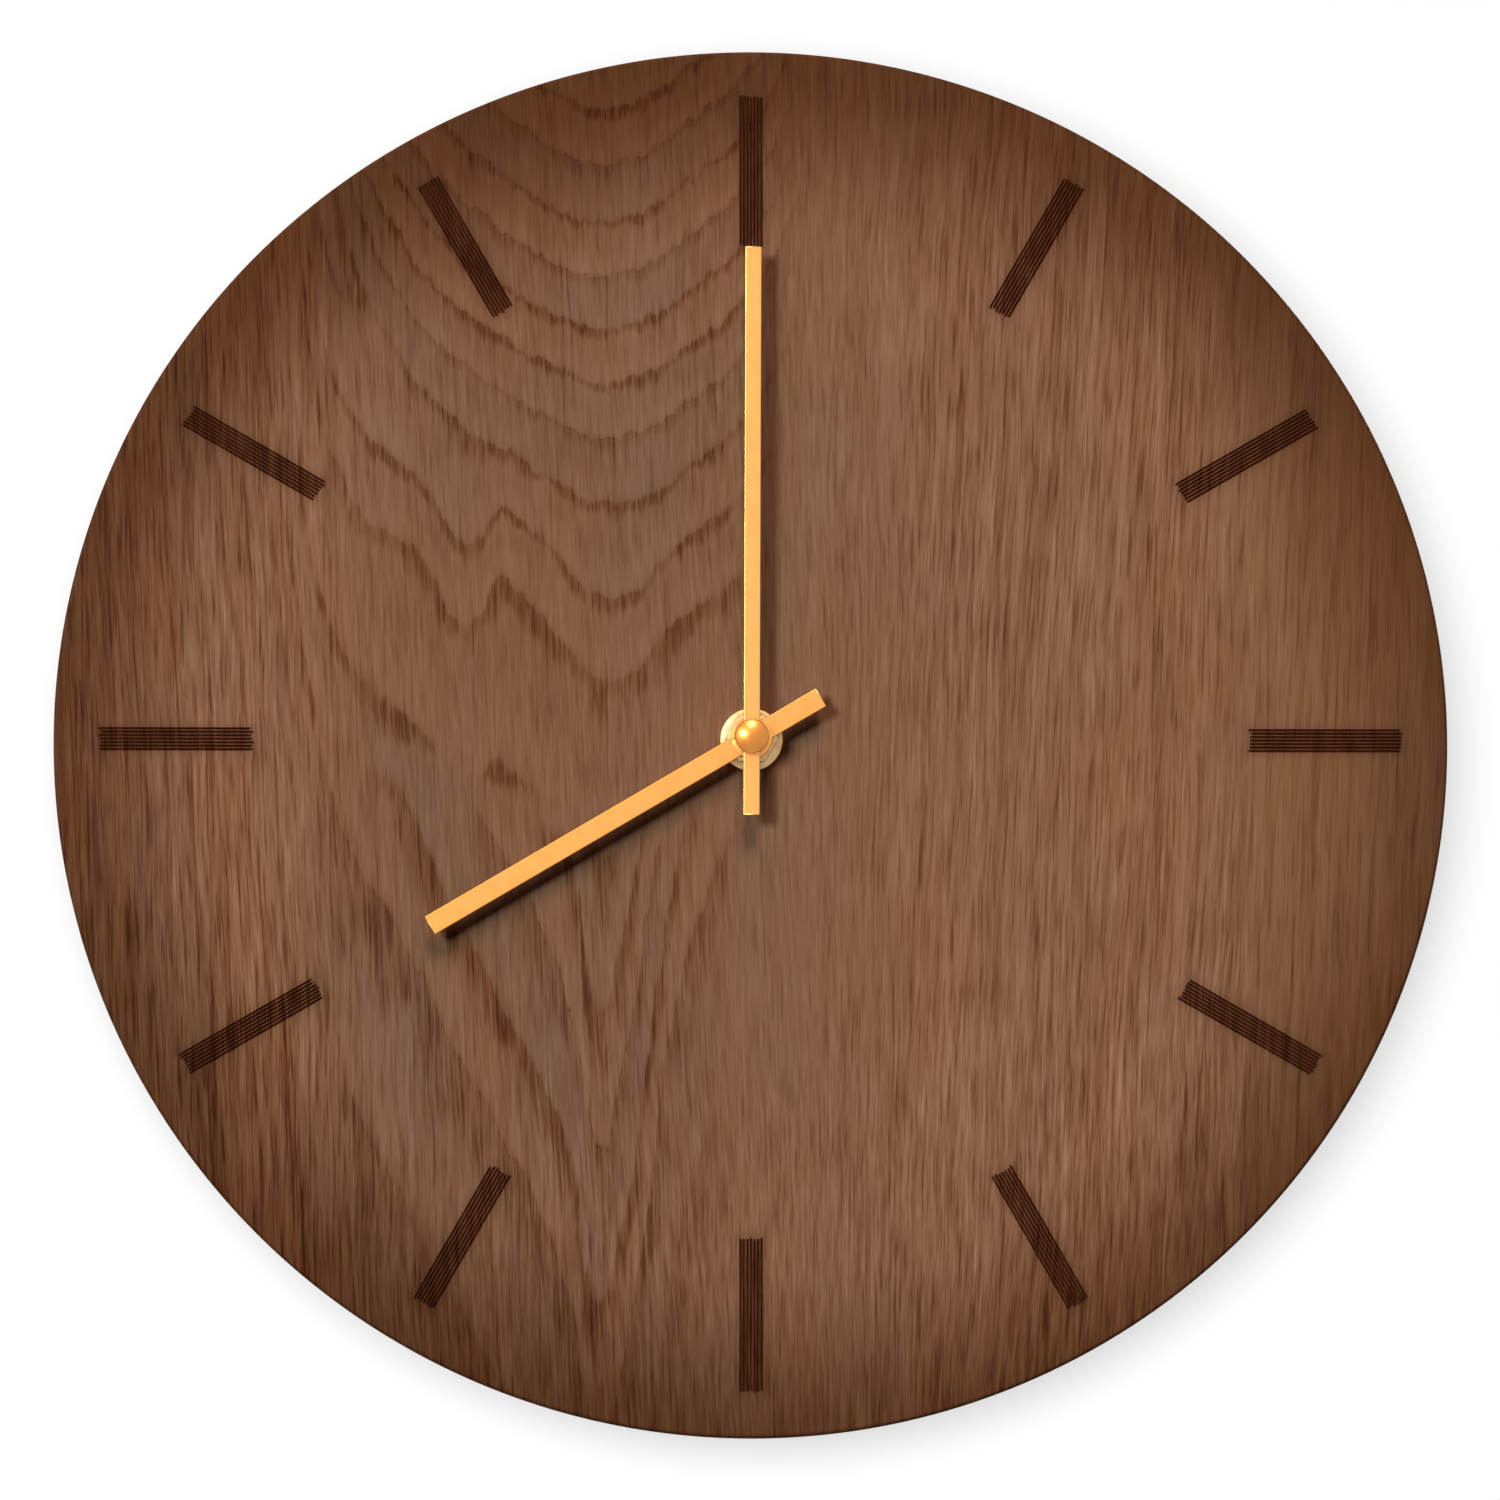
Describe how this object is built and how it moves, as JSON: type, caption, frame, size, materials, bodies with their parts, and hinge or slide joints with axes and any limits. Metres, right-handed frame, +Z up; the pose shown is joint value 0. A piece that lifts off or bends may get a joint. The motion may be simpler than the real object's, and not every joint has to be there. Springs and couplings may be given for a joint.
{
  "type": "wooden wall clock",
  "caption": "Frameless round wall clock: dark oak disc with engraved hour marks, straight brass hands and a battery movement in its back.",
  "frame": {"origin": "where the nail bears in the keyhole plate, in the plane of the wall", "axes": "+Z up, +Y towards the wall, so the dial faces -Y; +X to the right of a viewer in front of the dial"},
  "size_m": [0.3, 0.0306, 0.3],
  "materials": {
    "oak": "dark stained and oiled",
    "brushed_gold": "fine brushed",
    "gold_cap": "polished",
    "pale_brass": "satin plated",
    "white_plastic": "moulded",
    "black_plastic": "fine moulded grain",
    "chip_resin": "poured resin",
    "rubber": "matte",
    "zinc_steel": "zinc plated",
    "motor_iron": "annealed",
    "magnet": "sintered",
    "copper": "enamelled wire",
    "laminate": "paper laminate",
    "bright_steel": "nickel plated",
    "cell_sleeve": "plain film sleeve"
  },
  "bodies": {
    "board": {"dial_board": "oak", "threaded_bush": "pale_brass", "rubber_gasket": "rubber", "front_washer": "pale_brass", "hex_nut": "pale_brass", "stator": "motor_iron", "coil_core": "motor_iron", "coil_bobbin": "white_plastic", "coil_winding": "copper", "circuit_board": "laminate", "chip_cover": "chip_resin", "crystal_can": "bright_steel", "contact_positive": "bright_steel", "contact_negative": "bright_steel", "battery_cell": "cell_sleeve", "battery_cap": "bright_steel", "case_front": "black_plastic", "middle_plate": "white_plastic", "rear_cover": "black_plastic", "hanger_plate": "zinc_steel", "hanger_screw_left": "zinc_steel", "hanger_screw_right": "zinc_steel"},
    "minute": {"minute_arbor": "pale_brass", "minute_hand": "brushed_gold", "cap_nut": "gold_cap"},
    "hour": {"hour_wheel": "white_plastic", "hour_hand": "brushed_gold"},
    "setting": {"intermediate_wheel": "white_plastic", "set_knob": "white_plastic"},
    "centre": {"centre_wheel": "white_plastic", "clutch_spring": "copper"},
    "third": {"third_wheel": "white_plastic"},
    "fourth": {"fourth_wheel": "white_plastic"},
    "fifth": {"fifth_wheel": "white_plastic"},
    "rotor": {"rotor_shaft": "white_plastic", "rotor_magnet": "magnet"}
  },
  "joints": [
    {"name": "minute_turn", "type": "hinge", "parent": "board", "child": "minute", "pos_m": [0, -0.012, -0.095], "axis": [0, 1, 0], "continuous": true},
    {"name": "hour_turn", "type": "hinge", "parent": "board", "child": "hour", "pos_m": [0, -0.012, -0.095], "axis": [0, 1, 0], "continuous": true},
    {"name": "setting_turn", "type": "hinge", "parent": "board", "child": "setting", "pos_m": [0.01101, -0.012, -0.09205], "axis": [0, 1, 0], "continuous": true},
    {"name": "fourth_turn", "type": "hinge", "parent": "board", "child": "fourth", "pos_m": [0, -0.012, -0.095], "axis": [0, 1, 0], "continuous": true},
    {"name": "centre_turn", "type": "hinge", "parent": "board", "child": "centre", "pos_m": [0, -0.012, -0.095], "axis": [0, 1, 0], "continuous": true},
    {"name": "third_turn", "type": "hinge", "parent": "board", "child": "third", "pos_m": [-0.0108, -0.012, -0.095], "axis": [0, 1, 0], "continuous": true},
    {"name": "fifth_turn", "type": "hinge", "parent": "board", "child": "fifth", "pos_m": [-0.00287, -0.012, -0.08711], "axis": [0, 1, 0], "continuous": true},
    {"name": "rotor_turn", "type": "hinge", "parent": "board", "child": "rotor", "pos_m": [0.00133, -0.012, -0.07983], "axis": [0, 1, 0], "continuous": true}
  ],
  "couplings": [
    {"joint": "hour_turn", "follows": "minute_turn", "ratio": 0.083333},
    {"joint": "setting_turn", "follows": "minute_turn", "ratio": -0.33333},
    {"joint": "centre_turn", "follows": "fourth_turn", "ratio": 0.016667},
    {"joint": "third_turn", "follows": "fourth_turn", "ratio": -0.13333},
    {"joint": "fifth_turn", "follows": "fourth_turn", "ratio": -5},
    {"joint": "rotor_turn", "follows": "fourth_turn", "ratio": 30}
  ]
}
